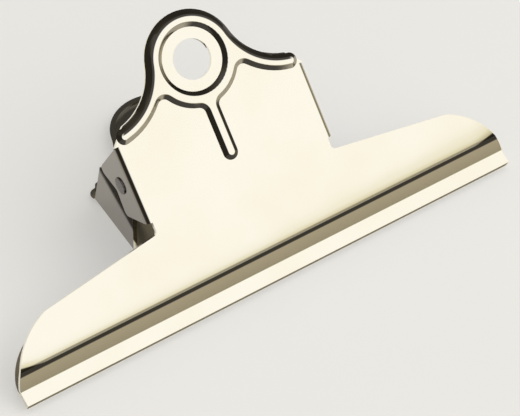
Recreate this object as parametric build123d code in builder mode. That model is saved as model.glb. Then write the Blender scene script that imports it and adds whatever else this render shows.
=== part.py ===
from build123d import *

import os
from math import acos, atan2, cos, degrees, hypot, pi, radians, sin, sqrt, tan

# Bulldog clip: two pressed steel jaws, a hinge pin through their ears and a torsion spring.
# It lies on its rear jaw. X runs along the lips, Y from the lips to the handles and Z up.
# The origin is on the table, under the middle of the clip. Lengths are in millimetres.

# Sheet and jaw
sheet = 0.6
jaw_length = 75.0
lip_height = 1.95
lip_gap = 0.1
jog_length = 2.77
jog_angle = 46.5
plate_angle = 21.65
heel_radius = 1.1
jog_radius = 0.6

# Outline of a flat plate, measured up from its heel bend
skirt_corner_x = 30.85
skirt_corner_up = 5.6
skirt_round = (35.2, 2.5)
skirt_end_up = -2.2
notch_up = 8.1
notch_radius = 0.6
neck_width = 28.5
neck_top = 20.25
fold_radius = 0.8
shoulder_x = 12.2
shoulder_tip_radius = 0.5
shoulder_radius = 8.0
shoulder_centre_up = 30.2
lobe_radius = 6.45
hole_up = 26.5
hole_radius = 2.65

# Raised ring and ribs on each handle
bead_height = 0.5
bead_slope = 50.0
bead_flange = 0.15
ring_width = 2.15
rib_width = 2.1
centre_rib_end = 12.56
side_rib_end_x = 12.5
bead_root_radius = 0.9
groove_inset = 0.55
bead_crown_radius = 0.25

# Ears, by their distance up the plate and their depth behind it
ear_clearance = 0.1
front_ear_foot = 9.7
front_ear_low = (11.0, 6.3)
front_ear_waist = (14.6, 5.8)
front_ear_high = (17.8, 8.8)
rear_ear_foot = 10.0
rear_ear_edge_depth = 9.4
rear_ear_crest = (16.5, 10.4)
rear_ear_high = (18.3, 9.2)
ear_corner_radius = 0.8

# Hinge, placed on the front jaw
hinge_up = 15.2
hinge_depth = 3.6
pin_radius = 1.0
pin_clearance = 0.05
press_clearance = 0.01
pin_eye_radius = 2.1
pin_eye_round = 1.9
pin_head_radius = 1.2
pin_head_height = 0.2
pin_head_round = 0.12

# Torsion spring
wire = 1.2
coil_clearance = 0.3
coil_gap = 0.5
coil_turns = 11
arcs_per_turn = 4
leg_seat_gap = 0.05
front_leg_up = 18.5
rear_leg_up = 18.5
leg_bend_radius = 2.0
leg_foot = 2.6
gap_samples_per_turn = 24

# Slack for picking faces by their height
tolerance = 0.01

# Where the two plates stand
half_gap = lip_gap / 2
heel_out = half_gap + sheet + jog_length * sin(radians(jog_angle))
heel_up = lip_height + jog_length * cos(radians(jog_angle))
bead_run = bead_height * tan(radians(bead_slope))
rest_tilt = degrees(atan2(bead_height, centre_rib_end + bead_run))
middle_angle = rest_tilt + plate_angle
front_angle = rest_tilt + 2 * plate_angle


def along(angle):
    """Direction up a plate that rises at this angle from the table."""
    return Vector(0, cos(radians(angle)), sin(radians(angle)))


def across(angle):
    """Direction square to that plate, on its upper side."""
    return Vector(0, -sin(radians(angle)), cos(radians(angle)))


handle_top = hole_up + lobe_radius
ring_outer_radius = lobe_radius - bead_flange
ring_inner_radius = ring_outer_radius - ring_width
shoulder_rise = shoulder_centre_up - hole_up
shoulder_centre_x = sqrt((lobe_radius + shoulder_radius) ** 2 - shoulder_rise**2)
lips = along(middle_angle) * -heel_up + across(middle_angle) * heel_out
clip_front = lips.Y + across(middle_angle).Y * (half_gap + sheet)
clip_back = along(rest_tilt).Y * handle_top
rear_heel = Vector(0, -(clip_front + clip_back) / 2, 0)
front_heel = rear_heel + across(middle_angle) * (2 * heel_out)
front_face = Plane(front_heel, x_dir=(1, 0, 0), z_dir=across(front_angle))
rear_face = Plane(rear_heel, x_dir=(-1, 0, 0), z_dir=-across(rest_tilt))
hinge = front_heel + along(front_angle) * hinge_up - across(front_angle) * hinge_depth


def side_plane(face):
    """Plane of a jaw's side view: x up the plate, y out of its face."""
    return Plane(face.origin, x_dir=face.y_dir, z_dir=face.x_dir)


def fold_plane(face, up):
    """Plane across a jaw at one height: x along the lips, y out of its face."""
    return Plane(face.origin + face.y_dir * up, x_dir=face.x_dir, z_dir=-face.y_dir)


def bent_sheet():
    """Side view of a plate: handle and skirt in one plane, then the heel, the jog and the lip."""
    jog_turn = radians(jog_angle - plate_angle)
    jog_end = (-jog_length * cos(jog_turn), -jog_length * sin(jog_turn))
    lip_end = (
        jog_end[0] - lip_height * cos(radians(plate_angle)),
        jog_end[1] + lip_height * sin(radians(plate_angle)),
    )
    with BuildSketch() as profile:
        with BuildLine():
            FilletPolyline(lip_end, jog_end, (0, 0), (handle_top, 0), radius=[jog_radius, heel_radius])
            offset(amount=sheet, side=Side.RIGHT)
        make_face()
    return profile.sketch


def plate_outline(neck_half):
    """Flat outline of a plate: skirt, notch, neck, shoulders and handle lobe."""
    flat_half = neck_half - fold_radius
    half = jaw_length / 2
    share = lobe_radius / (lobe_radius + shoulder_radius)
    tangent = (shoulder_centre_x * share, hole_up + shoulder_rise * share)
    tip_drop = sqrt(shoulder_radius**2 - (shoulder_centre_x - shoulder_x) ** 2)
    tip = (shoulder_x, shoulder_centre_up - tip_drop)
    base = -(lip_height + jog_length + sheet)
    with BuildSketch() as outline:
        with BuildLine():
            Polyline((0, base), (half, base), (half, skirt_end_up))
            ThreePointArc((half, skirt_end_up), skirt_round, (skirt_corner_x, skirt_corner_up))
            Polyline(
                (skirt_corner_x, skirt_corner_up),
                (flat_half, notch_up),
                (flat_half, neck_top),
                (neck_half, neck_top),
                tip,
            )
            RadiusArc(tip, tangent, shoulder_radius)
            RadiusArc(tangent, (0, handle_top), -lobe_radius)
            Line((0, handle_top), (0, base))
        make_face()
        notch = outline.vertices().sort_by_distance((flat_half, notch_up))[0]
        fillet(notch, radius=notch_radius)
        shoulder = outline.vertices().sort_by_distance(tip)[0]
        fillet(shoulder, radius=shoulder_tip_radius)
        mirror(about=Plane.YZ)
    return outline.sketch


def bead_plan(inset=0.0):
    """Plan of the raised ring and its three ribs, drawn in by an inset."""
    rib_radius = shoulder_radius + bead_flange + rib_width / 2
    start = degrees(atan2(-shoulder_rise, -shoulder_centre_x))
    stop = -degrees(acos((side_rib_end_x - shoulder_centre_x) / rib_radius))
    width = rib_width - 2 * inset
    rib_run = hole_up - centre_rib_end - rib_width / 2
    with BuildSketch() as plan:
        with Locations((0, hole_up)):
            Circle(ring_outer_radius - inset)
        with BuildLine(mode=Mode.PRIVATE) as rib_line:
            CenterArc((shoulder_centre_x, shoulder_centre_up), rib_radius, start, stop - start)
        SlotArc(rib_line.line.edge(), width)
        mirror(about=Plane.YZ)
        with Locations((0, hole_up - rib_run / 2)):
            SlotCenterToCenter(rib_run, width, rotation=90)
        corners = plan.vertices().filter_by(lambda v: abs(v.X) < side_rib_end_x / 2 and v.Y < hole_up)
        fillet(corners.filter_by(lambda v: v.Y > hole_up - rib_run + width), radius=bead_root_radius + inset)
        with Locations((0, hole_up)):
            Circle(ring_inner_radius + inset, mode=Mode.SUBTRACT)
    return plan.sketch


def pressed_plate(face, neck_half):
    """A flat plate with its heel, lip, raised bead and hanging hole."""
    with BuildPart() as plate:
        with BuildSketch(side_plane(face)):
            add(bent_sheet())
        extrude(amount=jaw_length / 2, both=True)
        with BuildSketch(face):
            add(plate_outline(neck_half))
        extrude(amount=lip_height + jog_length + sheet, both=True, mode=Mode.INTERSECT)
        with BuildSketch(face):
            add(bead_plan())
        extrude(amount=bead_height, taper=bead_slope)
        crown = plate.faces().filter_by(lambda f: face.to_local_coords(f.center()).Z > bead_height - tolerance)
        fillet(crown.edges(), radius=bead_crown_radius)
        with BuildSketch(face.offset(-sheet)):
            add(bead_plan(groove_inset))
        extrude(amount=bead_height, mode=Mode.SUBTRACT)
        with BuildSketch(face):
            with Locations((0, hole_up)):
                Circle(hole_radius)
        extrude(amount=2 * sheet, both=True, mode=Mode.SUBTRACT)
    return plate.part


def folded_neck(face, neck_half, ear_foot, ear_edge, corner_radii, bore):
    """The neck as a channel: its flat, two folds and two ears cut to an outline and bored for the pin."""
    depth = max(deep for up, deep in ear_edge)
    rim = [(ear_foot, 0), *[(up, -deep) for up, deep in ear_edge], (neck_top, 0)]
    radii = [0, *corner_radii, 0]
    with BuildPart() as neck:
        with BuildSketch(fold_plane(face, neck_top)):
            with BuildLine():
                FilletPolyline(
                    (-neck_half, -depth), (-neck_half, 0), (neck_half, 0), (neck_half, -depth), radius=fold_radius
                )
                offset(amount=sheet, side=Side.RIGHT)
            make_face()
        extrude(amount=neck_top - ear_foot)
        with BuildSketch(side_plane(face)):
            with BuildLine():
                FilletPolyline(*rim, radius=radii, close=True)
            make_face()
        extrude(amount=neck_half, both=True, mode=Mode.INTERSECT)
        with BuildSketch(hinge_plane):
            Circle(bore)
        extrude(amount=neck_half, both=True, mode=Mode.SUBTRACT)
    return neck.part


hinge_plane = Plane(hinge, x_dir=(0, 1, 0), z_dir=(1, 0, 0))
front_half = neck_width / 2
rear_half = front_half - sheet - ear_clearance

# Front jaw: its ears go outside the rear jaw's ears and hold the pin
with BuildPart() as front_jaw:
    add(pressed_plate(front_face, front_half))
    add(
        folded_neck(
            front_face,
            front_half,
            front_ear_foot,
            [front_ear_low, front_ear_waist, front_ear_high],
            [ear_corner_radius] * 3,
            pin_radius + press_clearance,
        )
    )
front_jaw.part.label = "front_jaw"

# Rear jaw: its longer ears end in a round eye that turns on the pin
eye = hinge - rear_heel
eye_up = eye.dot(along(rest_tilt))
eye_depth = eye.dot(across(rest_tilt))
with BuildPart() as rear_jaw:
    add(pressed_plate(rear_face, rear_half))
    add(
        folded_neck(
            rear_face,
            rear_half,
            rear_ear_foot,
            [
                (eye_up - pin_eye_radius, eye_depth + pin_eye_radius),
                (eye_up + pin_eye_radius, eye_depth + pin_eye_radius),
                (eye_up + pin_eye_radius, rear_ear_edge_depth),
                rear_ear_crest,
                rear_ear_high,
            ],
            [pin_eye_round] * 2 + [ear_corner_radius] * 3,
            pin_radius + pin_clearance,
        )
    )
rear_jaw.part.label = "rear_jaw"

# Hinge pin: a plain shaft with a low rounded head on each outer ear
with BuildPart() as hinge_pin:
    with BuildSketch(hinge_plane):
        Circle(pin_radius)
    extrude(amount=front_half, both=True)
    for side in (1, -1):
        with BuildSketch(hinge_plane.offset(side * front_half)):
            Circle(pin_head_radius)
        extrude(amount=side * pin_head_height)
    ends = hinge_pin.faces().sort_by(Axis.X)
    fillet(ends[0].edges() + ends[-1].edges(), radius=pin_head_round)
hinge_pin.part.label = "hinge_pin"

# Torsion spring: the rear leg's foot, its leg, the coil, and the front leg and foot
coil_radius = pin_radius + coil_clearance + wire / 2
pitch = wire + coil_gap
seat = sheet + leg_seat_gap + wire / 2
front_seat = front_heel + along(front_angle) * front_leg_up - across(front_angle) * seat - hinge
rear_seat = rear_heel + along(rest_tilt) * rear_leg_up + across(rest_tilt) * seat - hinge
coil_start = atan2(rear_seat.Z, rear_seat.Y) - acos(coil_radius / hypot(rear_seat.Y, rear_seat.Z))
coil_stop = atan2(front_seat.Z, front_seat.Y) + acos(coil_radius / hypot(front_seat.Y, front_seat.Z))
coil_turn = (coil_start - coil_stop) % (2 * pi) + 2 * pi * coil_turns
coil_length = pitch * coil_turn / (2 * pi)
arc_count = round(coil_turn / (2 * pi) * arcs_per_turn)


def coil_point(share):
    """Point on the wire's centre line, by the share of the coil that lies before it."""
    angle = coil_start - coil_turn * share
    return hinge + Vector(coil_length * (share - 0.5), coil_radius * cos(angle), coil_radius * sin(angle))


def coil_heading(share):
    """Heading of the wire there. At both ends it lies square to the pin, like the legs."""
    angle = coil_start - coil_turn * share
    lead = pitch / (2 * pi) if 0 < share < 1 else 0
    return Vector(lead, coil_radius * sin(angle), -coil_radius * cos(angle)).normalized()


def biarc_joint(start, start_heading, stop, stop_heading):
    """Point and heading where two tangent arcs between two points meet."""
    chord = stop - start
    total = start_heading + stop_heading
    spread = 2 * (1 - start_heading.dot(stop_heading))
    reach = (sqrt(chord.dot(total) ** 2 + spread * chord.dot(chord)) - chord.dot(total)) / spread
    first = start + start_heading * reach
    second = stop - stop_heading * reach
    return (first + second) * 0.5, (second - first).normalized()


with BuildPart() as torsion_spring:
    with BuildLine() as wire_line:
        rear_side = Vector(-coil_length / 2, 0, 0)
        rear_bend = hinge + rear_seat + rear_side
        FilletPolyline(
            rear_bend + along(rest_tilt) * leg_foot, rear_bend, coil_point(0), radius=leg_bend_radius
        )
        for arc in range(arc_count):
            here, there = arc / arc_count, (arc + 1) / arc_count
            start, stop = coil_point(here), coil_point(there)
            middle, heading = biarc_joint(start, coil_heading(here), stop, coil_heading(there))
            TangentArc(start, middle, tangent=coil_heading(here))
            TangentArc(middle, stop, tangent=heading)
        front_bend = hinge + front_seat - rear_side
        FilletPolyline(
            coil_point(1), front_bend, front_bend + along(front_angle) * leg_foot, radius=leg_bend_radius
        )
    with BuildSketch(Plane(wire_line.line @ 0, z_dir=wire_line.line % 0)):
        Circle(wire / 2)
    sweep(path=wire_line.line)
torsion_spring.part.label = "torsion_spring"

# Least gap between one turn of the wire and the next
sample_count = gap_samples_per_turn * coil_turns
samples = [coil_point(step / sample_count) for step in range(sample_count + 1)]
half_turn = gap_samples_per_turn // 2
least_gap = min((a - b).length - wire for i, a in enumerate(samples) for b in samples[i + half_turn :])
print(f"spring: {coil_turn / (2 * pi):.2f} turns, least gap to itself {least_gap:.2f} mm")

os.makedirs("parts", exist_ok=True)
for piece in (front_jaw, rear_jaw, hinge_pin, torsion_spring):
    export_step(piece.part, f"parts/{piece.part.label}.step")
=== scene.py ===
"""Bulldog clip on a table: polished jaws, hinge pin and torsion spring, in the frame of the solids."""

from math import cos, radians, sin, tan

import bmesh
import bpy
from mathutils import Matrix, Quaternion, Vector


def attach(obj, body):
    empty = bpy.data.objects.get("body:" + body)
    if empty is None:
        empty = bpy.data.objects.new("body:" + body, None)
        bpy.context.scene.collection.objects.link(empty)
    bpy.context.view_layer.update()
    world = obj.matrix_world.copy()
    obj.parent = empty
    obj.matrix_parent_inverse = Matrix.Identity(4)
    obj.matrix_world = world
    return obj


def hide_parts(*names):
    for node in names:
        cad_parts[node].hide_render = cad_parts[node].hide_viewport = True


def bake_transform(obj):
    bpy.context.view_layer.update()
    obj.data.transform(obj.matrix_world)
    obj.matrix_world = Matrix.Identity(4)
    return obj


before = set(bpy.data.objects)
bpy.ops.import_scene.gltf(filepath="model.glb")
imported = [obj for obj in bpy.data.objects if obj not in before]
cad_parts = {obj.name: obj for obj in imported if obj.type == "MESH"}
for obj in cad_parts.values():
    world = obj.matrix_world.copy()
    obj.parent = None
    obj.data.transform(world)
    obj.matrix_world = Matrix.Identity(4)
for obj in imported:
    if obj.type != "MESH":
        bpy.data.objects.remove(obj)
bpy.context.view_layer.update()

MM = 0.001
RIGHT = (1, 0, 0)

# The two plates: heel point, rise from the table and outer side
FRONT_PLATE = (Vector((0, -16.179, 4.865)) * MM, radians(45.477), 1)
REAR_PLATE = (Vector((0, -14.031, 0)) * MM, radians(2.177), -1)

# The sheet rolls softly into its heel, then faster, and gives way to the bend: length and steepest slope
SOFT_ROLL = (4.0 * MM, tan(radians(3.3)))
FAST_ROLL = (0.8 * MM, tan(radians(2)))
LAST_ROLL = (0.25 * MM, -tan(radians(5.3)))

# Near the ends of the jaw the roll begins higher
END_ROLL = (33.0 * MM, 37.5 * MM)
END_LIFT = 0.6 * MM

# Bands in which a painted reflection, painted shade, the raw edge or the rough inner corner comes in, by the
# distance up the plate from its heel
LIP_END = (-4.0 * MM, -3.8 * MM)
JOG_SPAN = (-2.6 * MM, -0.6 * MM)
CORNER_TOP = (-1.6 * MM, -1.2 * MM)
HEEL_LINE_FOOT = (-0.78 * MM, -0.6 * MM)
HEEL_LINE_TOP = (-0.22 * MM, -0.02 * MM)
JOG_TOP = (-0.2 * MM, 0.0)
EAR_FOOT = (9.0 * MM, 9.4 * MM)
FLANK_FOOT = (9.2 * MM, 9.6 * MM)
HANDLE_FOOT = (19.0 * MM, 23.0 * MM)
RIB_TOP = (20.0 * MM, 20.6 * MM)
EAR_TOP = (20.2 * MM, 20.5 * MM)
RIM_FOOT = (20.6 * MM, 21.0 * MM)

# Bands by the distance from the middle of the jaw, and by the distance from the outline of the handle
RIB_HALF = (1.6 * MM, 1.8 * MM)
RIM_END = (12.4 * MM, 13.0 * MM)
RIM_WIDTH = (0.95 * MM, 1.05 * MM)

# Bands by the way a face looks: out of the plate, up it, to the right, to a side, and along the lips
INNER_FACE = (-0.6, -0.2)
FLANK_STEEP = (0.3, 0.5)
OUTER_FACE = (0.6, 0.8)
FLANK_FLAT = (0.9, 0.985)
CORNER_STEEP = (-0.4, -0.35)
CORNER_FLAT = (-0.1, -0.04)
JOG_FACE = (-0.1, -0.02)
UPPER_FACE = (0.05, 0.25)
LEFT_FACE = (-0.25, -0.05)
EAR_FACE = (0.8, 0.95)
CUT_FACE = (0.6, 0.8)
LIP_WAY = (0, -0.915, -0.404)

# Tones of the plating, in pairs where it varies: the pale brass is its own colour, and the others are painted
# reflections and painted shade
PALE_BRASS = ((0.985, 0.94, 0.812, 1), (0.965, 0.908, 0.75, 1))
JOG_REFLECTION_TONES = ((0.385, 0.34, 0.23, 1), (0.45, 0.385, 0.26, 1))
HEEL_DARK_REFLECTION = (0.05, 0.045, 0.035, 1)
TAN_FLANK_REFLECTION = (0.42, 0.38, 0.3, 1)
DARK_FLANK_REFLECTION = (0.065, 0.059, 0.052, 1)
FRONT_EAR_SHADE_TONES = ((0.35, 0.32, 0.28, 1), (0.29, 0.265, 0.23, 1))
REAR_EAR_SHADE_TONES = ((0.31, 0.28, 0.245, 1), (0.255, 0.235, 0.205, 1))
INSIDE_SHADE_TONES = ((0.4, 0.365, 0.295, 1), (0.32, 0.29, 0.24, 1))
HANDLE_INSIDE_SHADE = (0.105, 0.1, 0.09, 1)

# Dull places: the raw cut edge of the lips, and painted shadow where the ears lap
RAW_EDGE = (0.3, 0.265, 0.18, 1)
LAP_SHADOW_TONE = (0.075, 0.07, 0.065, 1)

# Wear of the plating: broad clouds, and fine rubbing along the jaw
CLOUD_SCALE = 90.0
CLOUD_DETAIL = 3.0
CLOUD_BAND = (0.3, 0.75)
RUB_STRETCH = (260, 2200, 2200)
RUB_HEIGHT = 0.0012 * MM

# Roughness of the polish, and what wear, the inner corner and the inner faces add or take
POLISH = 0.07
CLOUD_ROUGHNESS = 0.05
RUB_ROUGHNESS = 0.03
CORNER_ROUGHNESS = 0.4
CORNER_METAL_LOSS = 0.7
INSIDE_ROUGHNESS = 0.15
INSIDE_METAL_LOSS = 0.15

# The front ear's free edge runs between these ends (up, deep), and painted shadow lies this far beyond it
FRONT_EAR_LOW = (11.0 * MM, 6.3 * MM)
FRONT_EAR_HIGH = (17.8 * MM, 8.8 * MM)
LAP_DEPTH = 2.7 * MM
LAP_FADE = 0.6 * MM

# The outline of a handle: lobe and shoulder arcs, and how far its rim is turned down
HOLE_UP = 26.5 * MM
LOBE_RADIUS = 6.45 * MM
SHOULDER_X = 13.968 * MM
SHOULDER_UP = 30.2 * MM
SHOULDER_RADIUS = 8.0 * MM
TANGENT_UP = 28.15 * MM
TANGENT_FADE = 0.2 * MM
TURNED_FOOT = 23.5 * MM
RIM_DROP = 0.2 * MM
RIM_SLACK = 0.03 * MM

# Steel of the pin and the spring: pale and dark tones, and the scale and look of their wear
PIN_TONES = ((0.19, 0.17, 0.165, 1), (0.12, 0.11, 0.105, 1))
PIN_WEAR = 900
SPRING_TONES = ((0.4, 0.39, 0.38, 1), (0.2, 0.19, 0.18, 1))
SPRING_WEAR = 700
WEAR_STRETCH = (1, 5, 5)
WEAR_DETAIL = 4.0
WEAR_GRAIN = 0.6
WEAR_BAND = (0.3, 0.7)
STEEL_POLISH = 0.22
STEEL_ROUGHNESS = 0.2

# Joining of the loose triangles, and rounding of the sheet's edges
WELD_DISTANCE = 0.002 * MM
FLAT_ANGLE = radians(0.4)
CREASE_ANGLE = radians(28)
EDGE_ANGLE = radians(60)
EDGE_ROUND = 0.1 * MM
EDGE_SEGMENTS = 3

# Table
FLOOR_RADIUS = 1200 * MM
FLOOR_SIDES = 96
TABLE_TONES = ((0.9, 0.885, 0.85, 1), (0.93, 0.915, 0.88, 1))
TABLE_GRAIN = 40.0
TABLE_ROUGHNESS = 0.85
TABLE_GLOW = 0.35

# Studio: its light from low to high, and its darker sides with their edges and how far they pull it down
STUDIO_LIGHT = [
    (0.0, (0.3, 0.28, 0.235, 1)),
    (0.2, (0.3, 0.28, 0.235, 1)),
    (0.3, (0.42, 0.385, 0.295, 1)),
    (0.38, (0.77, 0.74, 0.56, 1)),
    (0.46, (1.0, 1.0, 1.0, 1)),
]
BACK_SIDE = ((0, 1, 0), (0.0, 0.25), 0.6)
LEFT_SIDE = ((-1, 0, 0), (0.25, 0.5), 0.35)
BACK_LEFT_SIDE = ((-0.6, 0.8, 0), (0.05, 0.25), 0.5)

# Soft box
LAMP_SIZE = 700 * MM
LAMP_POWER = 1.3
LAMP_PLACE = Vector((350, -250, 560)) * MM

# Camera
IMAGE_WIDTH = 520
FOCAL_PIXELS = 1968.8
SENSOR_WIDTH = 36.0
NEAREST = 0.01
CAMERA_PLACE = Vector((-91.68, -149.56, 202.49)) * MM
CAMERA_AIM = Vector((2.605, -9.789, 4.87)) * MM
CAMERA_ROLL = radians(0.99)


class Paint:
    """A socket of a node tree. Its operators add Math nodes, and node() adds any other kind."""

    def __init__(self, tree, socket=None):
        self.tree = tree
        self.socket = socket

    def plug(self, target, value):
        if isinstance(value, Paint):
            self.tree.links.new(value.socket, target)
        else:
            target.default_value = value

    def node(self, kind, settings=None, inputs=None, output=0):
        made = self.tree.nodes.new(kind)
        for name, value in (settings or {}).items():
            if name == "stops":
                ramp = made.color_ramp
                for _ in range(len(value) - 2):
                    ramp.elements.new(0.5)
                for element, (place, colour) in zip(ramp.elements, value):
                    element.position = place
                    element.color = colour
            else:
                setattr(made, name, value)
        for name, value in (inputs or {}).items():
            self.plug(made.inputs[name], value)
        return Paint(self.tree, made.outputs[output])

    def maths(self, operation, first, second=0.0):
        return self.node("ShaderNodeMath", {"operation": operation}, {0: first, 1: second})

    def __add__(self, other):
        return self.maths("ADD", self, other)

    __radd__ = __add__

    def __sub__(self, other):
        return self.maths("SUBTRACT", self, other)

    def __rsub__(self, other):
        return self.maths("SUBTRACT", other, self)

    def __mul__(self, other):
        return self.maths("MULTIPLY", self, other)

    __rmul__ = __mul__

    def at_least(self, other):
        return self.maths("MAXIMUM", self, other)

    def size(self):
        return self.maths("ABSOLUTE", self)

    def reach(self, other):
        """The length of the slant that goes this far one way and that far the other."""
        return self.maths("SQRT", self * self + other * other)

    def step(self, low, high):
        """A smooth rise from 0 at low to 1 at high."""
        return self.node(
            "ShaderNodeMapRange",
            {"interpolation_type": "SMOOTHSTEP"},
            {"Value": self, "From Min": low, "From Max": high},
        )

    def noise(self, scale, detail=2.0, roughness=0.5):
        return self.node(
            "ShaderNodeTexNoise",
            None,
            {"Vector": self, "Scale": scale, "Detail": detail, "Roughness": roughness},
        )

    def dot(self, direction):
        inputs = {0: self, 1: direction}
        return self.node("ShaderNodeVectorMath", {"operation": "DOT_PRODUCT"}, inputs, "Value")

    def stretched(self, scale, turn=(0, 0, 0)):
        return self.node("ShaderNodeMapping", None, {"Vector": self, "Rotation": turn, "Scale": scale})

    def mixed(self, first, second):
        """A colour between two, by this value."""
        return self.node("ShaderNodeMix", {"data_type": "RGBA"}, {0: self, 6: first, 7: second}, 2)

    def dulled(self, share, colour):
        """This surface with a dull one over it, by its share of each place."""
        dull = self.node("ShaderNodeBsdfDiffuse", None, {"Color": colour})
        return self.node("ShaderNodeMixShader", None, {0: share, 1: self, 2: dull})


def new_material(name):
    """A new material: its paint, its object coordinates and its principled shader."""
    material = bpy.data.materials.new(name)
    material.use_nodes = True
    tree = material.node_tree
    shader = tree.nodes["Principled BSDF"]
    paint = Paint(tree)
    place = paint.node("ShaderNodeTexCoord", output="Object")
    return material, paint, place, shader


def show(surface):
    """Puts a surface on its material."""
    surface.plug(surface.tree.nodes["Material Output"].inputs["Surface"], surface)


def plate_axes(rise, side):
    """The direction up a plate, and the one out of its outer face."""
    return Vector((0, cos(rise), sin(rise))), Vector((0, -sin(rise), cos(rise))) * side


def heel_roll(from_heel, lift):
    """How far the sheet falls below its flat as it comes to its heel."""
    fall = 0.0
    for (length, slope), start in ((SOFT_ROLL, lift), (FAST_ROLL, lift), (LAST_ROLL, 0.0)):
        short_of_flat = (length + start - from_heel.at_least(0.0)).at_least(0.0)
        fall = fall + short_of_flat * short_of_flat * (-slope / (2 * length))
    return fall


def handle_rim(across, from_heel):
    """The strip along the outline of a handle, from its lobe to the ends of its shoulders."""
    from_lobe = LOBE_RADIUS - across.reach(from_heel - HOLE_UP)
    from_shoulder = (across.size() - SHOULDER_X).reach(from_heel - SHOULDER_UP) - SHOULDER_RADIUS
    on_lobe = from_heel.step(TANGENT_UP - TANGENT_FADE, TANGENT_UP + TANGENT_FADE)
    from_outline = on_lobe * from_lobe + (1 - on_lobe) * from_shoulder
    strip = (1 - from_outline.step(*RIM_WIDTH)) * from_heel.step(*RIM_FOOT)
    return strip * (1 - across.size().step(*RIM_END))


def lap_line():
    """The line between the ends of the front ear's edge: a point on it and the direction to the front jaw."""
    heel, rise, side = FRONT_PLATE
    up, out = plate_axes(rise, side)
    low, high = [heel + up * along - out * deep for along, deep in (FRONT_EAR_LOW, FRONT_EAR_HIGH)]
    edge = (high - low).normalized()
    return low, Vector((0, -edge.z, edge.y))


def brass_plate(name, plate, ear_shade_tones, lap=None):
    """Polished pale brass plating with faint wear; painted reflections and painted shade darken its flanks,
    folds, ears and inner faces, and painted shadow lies where the ears lap.
    """
    material, paint, place, shader = new_material(name)
    heel, rise, side = plate
    up, out = plate_axes(rise, side)
    across = place.dot(RIGHT)
    from_heel = place.dot(up) - heel.dot(up)
    lift = END_LIFT * across.size().step(*END_ROLL)
    facing = paint.node("ShaderNodeTexCoord", output="Normal")
    outward = facing.dot(out)
    upward = facing.dot(up)
    rightward = facing.dot(RIGHT)

    # Where each tone lies: the heel line, jog, flanks, rim, rib and ears take painted reflections and painted
    # shade, and the inner faces take painted shade
    outside = outward.step(*OUTER_FACE)
    inside = 1 - outward.step(*INNER_FACE)
    line = (1 - (from_heel - lift).step(*HEEL_LINE_TOP)) * from_heel.step(*HEEL_LINE_FOOT) * outside
    jog = (1 - upward.step(*JOG_FACE)) * (1 - from_heel.step(*JOG_TOP)) * outside
    corner = upward.step(*CORNER_STEEP) * (1 - upward.step(*CORNER_FLAT))
    corner = corner * (1 - from_heel.step(*CORNER_TOP))
    not_an_ear = outward.step(*FLANK_STEEP)
    flank = (1 - outward.step(*FLANK_FLAT)) * from_heel.step(*FLANK_FOOT) * not_an_ear
    on_rib = (1 - across.size().step(*RIB_HALF)) * (1 - from_heel.step(*RIB_TOP))
    shaded = (1 - rightward.step(*LEFT_FACE)).at_least(upward.step(*UPPER_FACE)).at_least(on_rib)
    rim = handle_rim(across, from_heel) * not_an_ear
    ear = rightward.size().step(*EAR_FACE) * from_heel.step(*EAR_FOOT) * (1 - from_heel.step(*EAR_TOP))
    cut_edge = facing.dot(LIP_WAY).step(*CUT_FACE) * (1 - from_heel.step(*LIP_END))

    cloud = place.noise(CLOUD_SCALE, CLOUD_DETAIL)
    rub = place.stretched(RUB_STRETCH, (rise, 0, 0)).noise(1.0)
    colour = cloud.step(*CLOUD_BAND).mixed(*PALE_BRASS)
    # Painted reflection of the table on the jog below the heel
    colour = jog.mixed(colour, from_heel.step(*JOG_SPAN).mixed(*JOG_REFLECTION_TONES))
    # Painted dark reflection in the heel bend
    colour = line.mixed(colour, HEEL_DARK_REFLECTION)
    # Painted reflection on the bead flanks: dark where they face left or up and on the centre rib, tan where
    # they face right
    colour = flank.mixed(colour, shaded.mixed(TAN_FLANK_REFLECTION, DARK_FLANK_REFLECTION))
    # Painted dark reflection along the rim of the handle
    colour = rim.mixed(colour, DARK_FLANK_REFLECTION)
    # Painted shade on the ears
    colour = ear.mixed(colour, cloud.mixed(*ear_shade_tones))
    # Painted shade on the inner faces, darkest inside the handle
    inside_shade = from_heel.step(*HANDLE_FOOT).mixed(cloud.mixed(*INSIDE_SHADE_TONES), HANDLE_INSIDE_SHADE)
    colour = inside.mixed(colour, inside_shade)
    paint.plug(shader.inputs["Base Color"], colour)

    roughness = POLISH + CLOUD_ROUGHNESS * cloud + RUB_ROUGHNESS * rub
    roughness = roughness + CORNER_ROUGHNESS * corner + INSIDE_ROUGHNESS * inside
    paint.plug(shader.inputs["Roughness"], roughness)
    paint.plug(shader.inputs["Metallic"], 1 - INSIDE_METAL_LOSS * inside - CORNER_METAL_LOSS * corner)
    height = heel_roll(from_heel, lift) * side + RUB_HEIGHT * rub
    bump = paint.node("ShaderNodeBump", None, {"Height": height, "Distance": 1.0, "Strength": 1.0})
    paint.plug(shader.inputs["Normal"], bump)

    surface = Paint(paint.tree, shader.outputs[0]).dulled(cut_edge, RAW_EDGE)
    if lap:
        foot, away = lap
        from_edge = place.dot(away) - foot.dot(away)
        # Painted shadow on the rear ear just beyond the front ear's edge
        lap_shadow_mask = ear * from_edge.step(-LAP_DEPTH - LAP_FADE, -LAP_DEPTH + LAP_FADE)
        surface = surface.dulled(lap_shadow_mask, LAP_SHADOW_TONE)
    show(surface)
    return material


def satin_steel(name, tones, wear_scale):
    """Drawn or turned steel: grey with fine lengthwise wear."""
    material, paint, place, shader = new_material(name)
    wear = place.stretched(WEAR_STRETCH).noise(wear_scale, WEAR_DETAIL, WEAR_GRAIN)
    paint.plug(shader.inputs["Base Color"], wear.step(*WEAR_BAND).mixed(*tones))
    paint.plug(shader.inputs["Roughness"], STEEL_POLISH + STEEL_ROUGHNESS * wear)
    shader.inputs["Metallic"].default_value = 1.0
    return material


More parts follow.
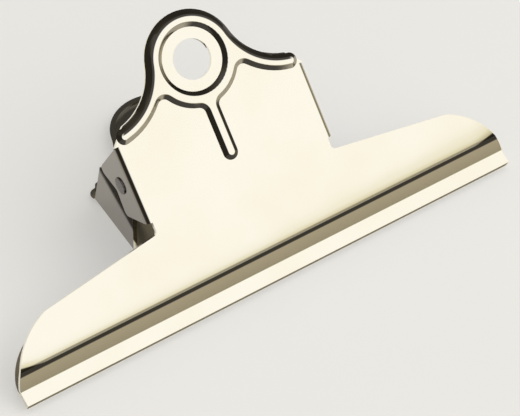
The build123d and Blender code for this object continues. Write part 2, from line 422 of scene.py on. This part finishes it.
def table_top():
    """Plain pale table, brighter to the eye and in the metal than the light on it makes it."""
    material, paint, place, shader = new_material("pale_table")
    grain = place.noise(TABLE_GRAIN, 3.0)
    paint.plug(shader.inputs["Base Color"], grain.mixed(*TABLE_TONES))
    shader.inputs["Roughness"].default_value = TABLE_ROUGHNESS
    seen = paint.node("ShaderNodeLightPath", output="Is Camera Ray")
    seen = seen.at_least(paint.node("ShaderNodeLightPath", output="Is Glossy Ray"))
    seen = seen.at_least(paint.node("ShaderNodeLightPath", output="Is Transmission Ray"))
    white = paint.node("ShaderNodeEmission", None, {"Color": (1, 1, 1, 1), "Strength": 1.0})
    lit = Paint(paint.tree, shader.outputs[0])
    show(paint.node("ShaderNodeMixShader", None, {0: TABLE_GLOW * seen, 1: lit, 2: white}))
    return material


def turn_down_rim(work, heel, rise, side):
    """The rim of the handle follows the bead's flank down, with no flat flange outside it."""
    up, out = plate_axes(rise, side)
    for vert in work.verts:
        away = vert.co - heel
        high = away.dot(up)
        if abs(away.dot(out)) > RIM_SLACK or high < TURNED_FOOT:
            continue
        lobe = Vector((away.x, high - HOLE_UP)).length
        shoulder = Vector((abs(away.x) - SHOULDER_X, high - SHOULDER_UP)).length
        on_lobe = high > TANGENT_UP and abs(lobe - LOBE_RADIUS) < RIM_SLACK
        on_shoulder = high <= TANGENT_UP and abs(shoulder - SHOULDER_RADIUS) < RIM_SLACK
        if on_lobe or on_shoulder:
            vert.co -= out * RIM_DROP


def round_edges(work):
    """Rounds the cut edges of a sheet."""
    bmesh.ops.dissolve_limit(work, angle_limit=FLAT_ANGLE, verts=work.verts, edges=work.edges)
    edges = [edge for edge in work.edges if edge.is_manifold and edge.calc_face_angle() > EDGE_ANGLE]
    bmesh.ops.bevel(
        work,
        geom=edges,
        affect="EDGES",
        offset=EDGE_ROUND,
        offset_type="OFFSET",
        segments=EDGE_SEGMENTS,
        profile=0.5,
        clamp_overlap=True,
        material=-1,
    )


def joined_copy(node_name, piece_name, material, plate=None):
    """A CAD piece with its triangles joined, so that bends and beads shine smoothly."""
    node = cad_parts[node_name]
    work = bmesh.new()
    work.from_mesh(node.data)
    work.transform(node.matrix_world)
    bmesh.ops.remove_doubles(work, verts=work.verts, dist=WELD_DISTANCE)
    if plate:
        turn_down_rim(work, *plate)
        round_edges(work)
    for face in work.faces:
        face.smooth = True
    for edge in work.edges:
        edge.smooth = edge.is_manifold and edge.calc_face_angle() < CREASE_ANGLE
    mesh = bpy.data.meshes.new(piece_name)
    work.to_mesh(mesh)
    work.free()
    mesh.materials.append(material)
    piece = bpy.data.objects.new(piece_name, mesh)
    bpy.context.scene.collection.objects.link(piece)
    even = piece.modifiers.new("even_shine", "WEIGHTED_NORMAL")
    even.mode = "FACE_AREA"
    even.weight = 100
    even.keep_sharp = True
    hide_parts(node_name)
    return piece


def studio():
    """A bright ceiling in front and on the right, and darker at the back, on the left and low down."""
    world = bpy.data.worlds.new("studio")
    bpy.context.scene.world = world
    world.use_nodes = True
    paint = Paint(world.node_tree)
    heading = paint.node("ShaderNodeTexCoord", output="Generated")
    level = heading.dot((0, 0, 1))
    sides = (BACK_SIDE, LEFT_SIDE, BACK_LEFT_SIDE)
    back, left, back_left = [share * heading.dot(way).step(*edge) for way, edge, share in sides]
    level = level - back.at_least(left).at_least(back_left)
    light = paint.node("ShaderNodeValToRGB", {"stops": STUDIO_LIGHT}, {"Fac": level})
    background = world.node_tree.nodes["Background"]
    paint.plug(background.inputs["Color"], light)
    background.inputs["Strength"].default_value = 1.0


def place_floor():
    """A round table top under the clip."""
    mesh = bpy.data.meshes.new("table")
    work = bmesh.new()
    bmesh.ops.create_circle(work, cap_ends=True, segments=FLOOR_SIDES, radius=FLOOR_RADIUS)
    work.to_mesh(mesh)
    work.free()
    mesh.materials.append(table_top())
    floor = bpy.data.objects.new("table", mesh)
    bpy.context.scene.collection.objects.link(floor)


def place_lamp():
    """One soft box high in front, on the right, which the metal doesn't mirror."""
    light = bpy.data.lights.new("soft_box", "AREA")
    light.shape = "DISK"
    light.size = LAMP_SIZE
    light.energy = LAMP_POWER
    lamp = bpy.data.objects.new("soft_box", light)
    lamp.visible_glossy = False
    lamp.location = LAMP_PLACE
    lamp.rotation_euler = (-LAMP_PLACE).to_track_quat("-Z", "Y").to_euler()
    bpy.context.scene.collection.objects.link(lamp)


def place_camera():
    """The photograph's view, with its slight tilt."""
    data = bpy.data.cameras.new("camera")
    data.sensor_width = SENSOR_WIDTH
    data.lens = SENSOR_WIDTH * FOCAL_PIXELS / IMAGE_WIDTH
    data.clip_start = NEAREST
    camera = bpy.data.objects.new("camera", data)
    camera.location = CAMERA_PLACE
    upright = (CAMERA_AIM - CAMERA_PLACE).to_track_quat("-Z", "Y")
    camera.rotation_euler = (upright @ Quaternion((0, 0, 1), CAMERA_ROLL)).to_euler()
    bpy.context.scene.collection.objects.link(camera)
    bpy.context.scene.camera = camera


front_brass = brass_plate("front_brass_plate", FRONT_PLATE, FRONT_EAR_SHADE_TONES)
rear_brass = brass_plate("rear_brass_plate", REAR_PLATE, REAR_EAR_SHADE_TONES, lap_line())
pin_steel = satin_steel("pin_steel", PIN_TONES, PIN_WEAR)
spring_steel = satin_steel("spring_steel", SPRING_TONES, SPRING_WEAR)

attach(joined_copy("front_jaw", "front_jaw_sheet", front_brass, FRONT_PLATE), "front")
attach(joined_copy("rear_jaw", "rear_jaw_sheet", rear_brass, REAR_PLATE), "rear")
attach(joined_copy("hinge_pin", "hinge_pin_turned", pin_steel), "front")
spring = joined_copy("torsion_spring", "spring_wire", spring_steel)
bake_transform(spring)

studio()
place_floor()
place_lamp()
place_camera()
bpy.context.scene.view_settings.view_transform = "Standard"
